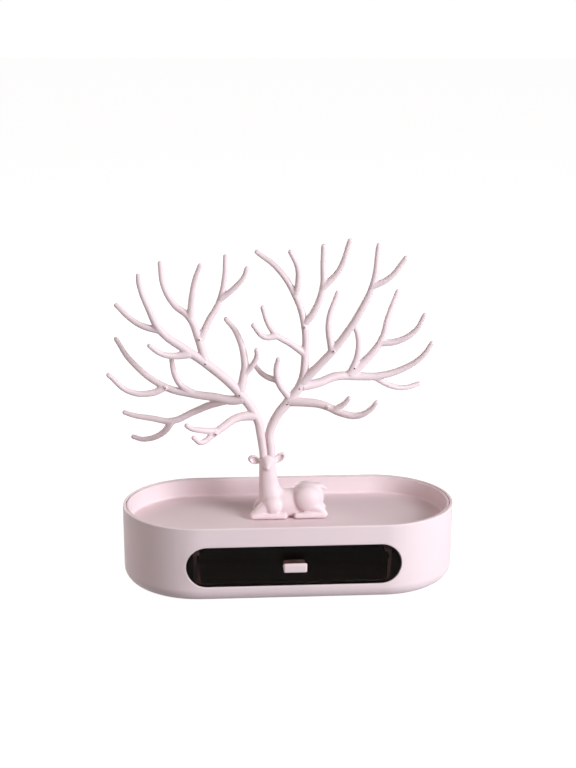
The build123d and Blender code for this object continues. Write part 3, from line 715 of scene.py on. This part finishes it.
# Where small holes go through the forks, from the head's top, in mm
PIN_HOLES = {
    "antler_left_main": ((-53, -3, 82.5), (-24, 0, 53.5)),
    "antler_left_crown": ((-58, -1, 103),),
    "antler_left_side": ((-87, 12, 58),),
    "antler_left_front": ((-45, -15, 24),),
    "antler_right_main": ((16.5, 0, 45), (27, 0, 58.5), (31, 2, 112)),
    "antler_right_upper": ((55, -7, 93),),
    "antler_right_side": ((75, 11, 73),),
    "antler_right_front": ((50, -11, 45),),
}
PIN_BOSS = (2.7, 4.5, 2.7)  # half sizes in mm of the thickening round a hole
PIN_HOLE_RADIUS = 0.0008  # metres
PIN_HOLE_LENGTH = 0.020


class STAND_OT_antlers(bpy.types.Operator):
    """Model every antler piece as tapered tines grown together at their forks"""

    bl_idname = "stand.antlers"
    bl_label = "Antlers"

    def execute(self, context):
        sizes = context.scene.stand_antlers
        for node, tines in ANTLERS.items():
            holes = PIN_HOLES.get(node, ())
            forms = [self.tine(points, radii, sizes) for points, radii in tines]
            forms += [ball(on_head(*place), PIN_BOSS) for place in holes]
            piece = join(forms, node.replace("antler", "tines"))
            fuse(piece, sizes.grain, sizes.soften)
            for place in holes:
                cut(piece, self.pin_hole(place))
            dress(smooth(piece, TINE_CREASE), "body_plastic", "stand", node)
        return {"FINISHED"}

    def tine(self, points, radii, sizes):
        """One tine, a little wider at its root."""
        swell = sizes.swell / MM
        radii = [radii[0] * sizes.root_flare, *radii[1:]]
        return bar([on_head(*p) for p in points], [r + swell / r for r in radii])

    def pin_hole(self, place):
        """The cutter for a hole from front to back."""
        deselect()
        bpy.ops.mesh.primitive_cylinder_add(
            vertices=20, radius=PIN_HOLE_RADIUS, depth=PIN_HOLE_LENGTH,
            location=on_head(*place), rotation=(pi / 2, 0, 0),
        )
        return bpy.context.object


# ------------------------------------------------------------ base, tray and drawer


def on_front(p):
    """Whether a point in mm is on the outside of the housing's wall."""
    reach = max(0.0, abs(p.x) - WALL_END)
    off = (reach**2 + p.y**2) ** 0.5
    return abs(off - WALL_RADIUS + (RIM_HEIGHT - p.z) * tan(WALL_DRAFT)) < 0.15


def on_opening_edge(p):
    """Whether a point in mm is on the outer edge of the drawer's opening."""
    reach = max(0.0, abs(p.x) - OPENING_END)
    off = (reach**2 + (p.z - OPENING_MIDDLE) ** 2) ** 0.5
    return p.y < FRONT_FROM and abs(off - OPENING_RADIUS) < 0.1 and on_front(p)


def off_slot(p):
    """Whether a point in mm on the panel is clear of the slot for the pull."""
    return abs(p.x) > SLOT_REACH or abs(p.z - OPENING_MIDDLE) > SLOT_REACH


class STAND_OT_housing(bpy.types.Operator):
    """Round the rim and the drawer opening of the base housing"""

    bl_idname = "stand.housing"
    bl_label = "Base housing"

    def execute(self, context):
        housing = copy_of("housing_shell", "housing")
        rim = top_of("housing_shell") - RIM_DEPTH
        round_edges(housing, lambda p: p.z > rim, 0.25, 2)
        round_edges(housing, on_opening_edge, 0.7)
        dress(satin(housing), "body_plastic", "stand", "housing_shell")
        return {"FINISHED"}


class STAND_OT_tray(bpy.types.Operator):
    """Round the rim and the floor's edge of the tray"""

    bl_idname = "stand.tray"
    bl_label = "Tray"

    def execute(self, context):
        tray = copy_of("tray_insert", "tray")
        rim = top_of("tray_insert") - RIM_DEPTH
        low, high = TRAY_FLOOR_EDGE
        round_edges(tray, lambda p: p.z > rim, 0.25, 2)
        round_edges(tray, lambda p: low < p.z < high, 0.8, sharper_than=15)
        dress(satin(tray), "body_plastic", "stand", "tray_insert")
        return {"FINISHED"}


class STAND_OT_drawer(bpy.types.Operator):
    """Round the edges of the drawer's front, its box and its pull"""

    bl_idname = "stand.drawer"
    bl_label = "Drawer"

    def execute(self, context):
        front = round_edges(copy_of("drawer_front", "smoky_front"), off_slot, 0.3)
        dress(satin(front), "panel_plastic", "drawer", "drawer_front")
        box = copy_of("drawer_box", "drawer_tray")
        round_edges(box, lambda p: p.z > BOX_RIM_FROM, 0.3, 2)
        dress(satin(box), "drawer_plastic", "drawer", "drawer_box")
        pull = copy_of("drawer_pull", "pull_tab")
        round_edges(pull, lambda p: p.y < PULL_FRONT_FROM, 0.3, 2)
        dress(satin(pull), "body_plastic", "drawer", "drawer_pull")
        return {"FINISHED"}


class STAND_OT_plain_nodes(bpy.types.Operator):
    """Finish the pieces that keep the shape they have in the frame"""

    bl_idname = "stand.plain_nodes"
    bl_label = "Base plate, guides and fixings"

    def execute(self, context):
        slots = {entry["node"]: entry["material_slot"] for entry in frame["record"]["subparts"]}
        for name, node in frame["nodes"].items():
            node.data.materials.clear()
            node.data.materials.append(finish_of(slots[name]))
        return {"FINISHED"}


# ------------------------------------------------------------------------------ stage

# Each lamp: its place and width in metres, its power in watts, and its colour
LAMPS = {
    "key": ((1.16, -1.05, 0.64), 0.9, 34.5, (0.90, 0.96, 1.0)),
    "behind": ((-0.5, 1.35, 0.32), 0.8, 8.0, (0.97, 0.95, 0.93)),
    "left_side": ((-1.25, 0.1, 0.25), 0.5, 3.4, (1.0, 0.98, 0.97)),
    "top": ((-0.3, -0.4, 1.5), 0.7, 4.2, (1.0, 0.92, 0.88)),
}
LAMPS_AIM = Vector((0, 0, 0.12))

FLOOR_COLOUR = (0.3, 0.3, 0.3, 1)
FLOOR_GLOW = 0.95  # for rays that see the floor directly
WHITE = (1, 1, 1, 1)

# Soft light from all round, dimmer from above
FILL_COLOUR = (1.0, 0.82, 0.72)
FILL_AT_LEVEL = 0.25
FILL_ABOVE = 0.09
ABOVE_FROM = 0.8  # height of a direction, where 1 is straight up


class STAND_OT_stage(bpy.types.Operator):
    """Set up the floor, the lamps and the camera"""

    bl_idname = "stand.stage"
    bl_label = "Stage"

    def execute(self, context):
        scene = context.scene
        self.camera(scene)
        self.floor()
        for name, values in LAMPS.items():
            self.lamp(name, *values)
        self.world(scene)
        scene.view_settings.view_transform = "Standard"
        return {"FINISHED"}

    def camera(self, scene):
        """The photograph's viewing angle."""
        stage = scene.stand_stage
        back = Vector((
            sin(stage.azimuth) * cos(stage.elevation),
            -cos(stage.azimuth) * cos(stage.elevation),
            sin(stage.elevation),
        ))
        deselect()
        bpy.ops.object.camera_add(location=Vector(stage.aim) + back * stage.distance)
        camera = bpy.context.object
        turn = back.to_track_quat("Z", "Y").to_matrix()
        camera.rotation_euler = (turn @ Euler((0, 0, stage.roll)).to_matrix()).to_euler()
        camera.data.sensor_fit = "HORIZONTAL"
        camera.data.sensor_width = 36.0
        camera.data.lens = stage.focal_length
        scene.camera = camera

    def floor(self):
        """A plain floor that is white where it is seen, and still takes the shadow."""
        deselect()
        bpy.ops.mesh.primitive_plane_add(size=12, location=(0, 0, -0.00005))
        floor = settle(bpy.context.object, "studio_floor")
        material, tree, shader = new_material("white_floor")
        glow = new_node(
            tree, "ShaderNodeMath", {0: seen_directly(tree), 1: FLOOR_GLOW}, operation="MULTIPLY",
        )
        feed(tree, shader, {
            "Base Color": FLOOR_COLOUR, "Roughness": 0.9, "Specular IOR Level": 0.0,
            "Emission Color": WHITE, "Emission Strength": glow.outputs[0],
        })
        floor.data.materials.append(material)

    def lamp(self, name, place, width, power, colour):
        """A round soft lamp that points at the stand."""
        deselect()
        bpy.ops.object.light_add(type="AREA", location=place)
        lamp = bpy.context.object
        lamp.name = name
        lamp.data.shape = "DISK"
        lamp.data.size = width
        lamp.data.energy = power
        lamp.data.color = colour
        lamp.rotation_euler = (lamp.location - LAMPS_AIM).to_track_quat("Z", "Y").to_euler()

    def world(self, scene):
        """A soft warm fill, with white where the surroundings are seen."""
        scene.world = bpy.data.worlds.new("white_studio")
        scene.world.use_nodes = True
        tree = scene.world.node_tree
        way = tree.nodes.new("ShaderNodeTexCoord")
        split = new_node(tree, "ShaderNodeSeparateXYZ", {"Vector": way.outputs["Generated"]})
        level = new_node(tree, "ShaderNodeMapRange", {
            "Value": split.outputs["Z"], "From Max": ABOVE_FROM,
            "To Min": FILL_AT_LEVEL, "To Max": FILL_ABOVE,
        })
        fill = new_node(
            tree, "ShaderNodeVectorMath", {0: FILL_COLOUR, "Scale": level.outputs["Result"]},
            operation="SCALE",
        )
        seen = new_node(
            tree, "ShaderNodeMix",
            {"Factor": seen_directly(tree), "A": fill.outputs["Vector"], "B": WHITE},
            data_type="RGBA",
        )
        feed(tree, tree.nodes["Background"], {"Color": seen.outputs["Result"]})


# ------------------------------------------------------------------------------- panel


class STAND_PT_panel(bpy.types.Panel):
    bl_label = "Jewelry stand"
    bl_idname = "STAND_PT_panel"
    bl_space_type = "VIEW_3D"
    bl_region_type = "UI"
    bl_category = "Jewelry stand"

    def draw(self, context):
        for step in STEPS:
            self.layout.operator(step.bl_idname)


STEPS = (
    STAND_OT_stage, STAND_OT_plain_nodes, STAND_OT_housing, STAND_OT_tray, STAND_OT_drawer,
    STAND_OT_deer, STAND_OT_antlers,
)
GROUPS = {
    "stand_antlers": AntlerSizes,
    "stand_deer": DeerSizes,
    "stand_finishes": Finishes,
    "stand_stage": StageSettings,
}


def register():
    for group in GROUPS.values():
        bpy.utils.register_class(group)
    for name, group in GROUPS.items():
        setattr(bpy.types.Scene, name, bpy.props.PointerProperty(type=group))
    for cls in (*STEPS, STAND_PT_panel):
        bpy.utils.register_class(cls)


def unregister():
    for cls in (STAND_PT_panel, *reversed(STEPS)):
        bpy.utils.unregister_class(cls)
    for name, group in GROUPS.items():
        delattr(bpy.types.Scene, name)
        bpy.utils.unregister_class(group)


def main():
    register()
    for step in STEPS:
        group, name = step.bl_idname.split(".")
        getattr(getattr(bpy.ops, group), name)()


if __name__ == "__main__":
    main()
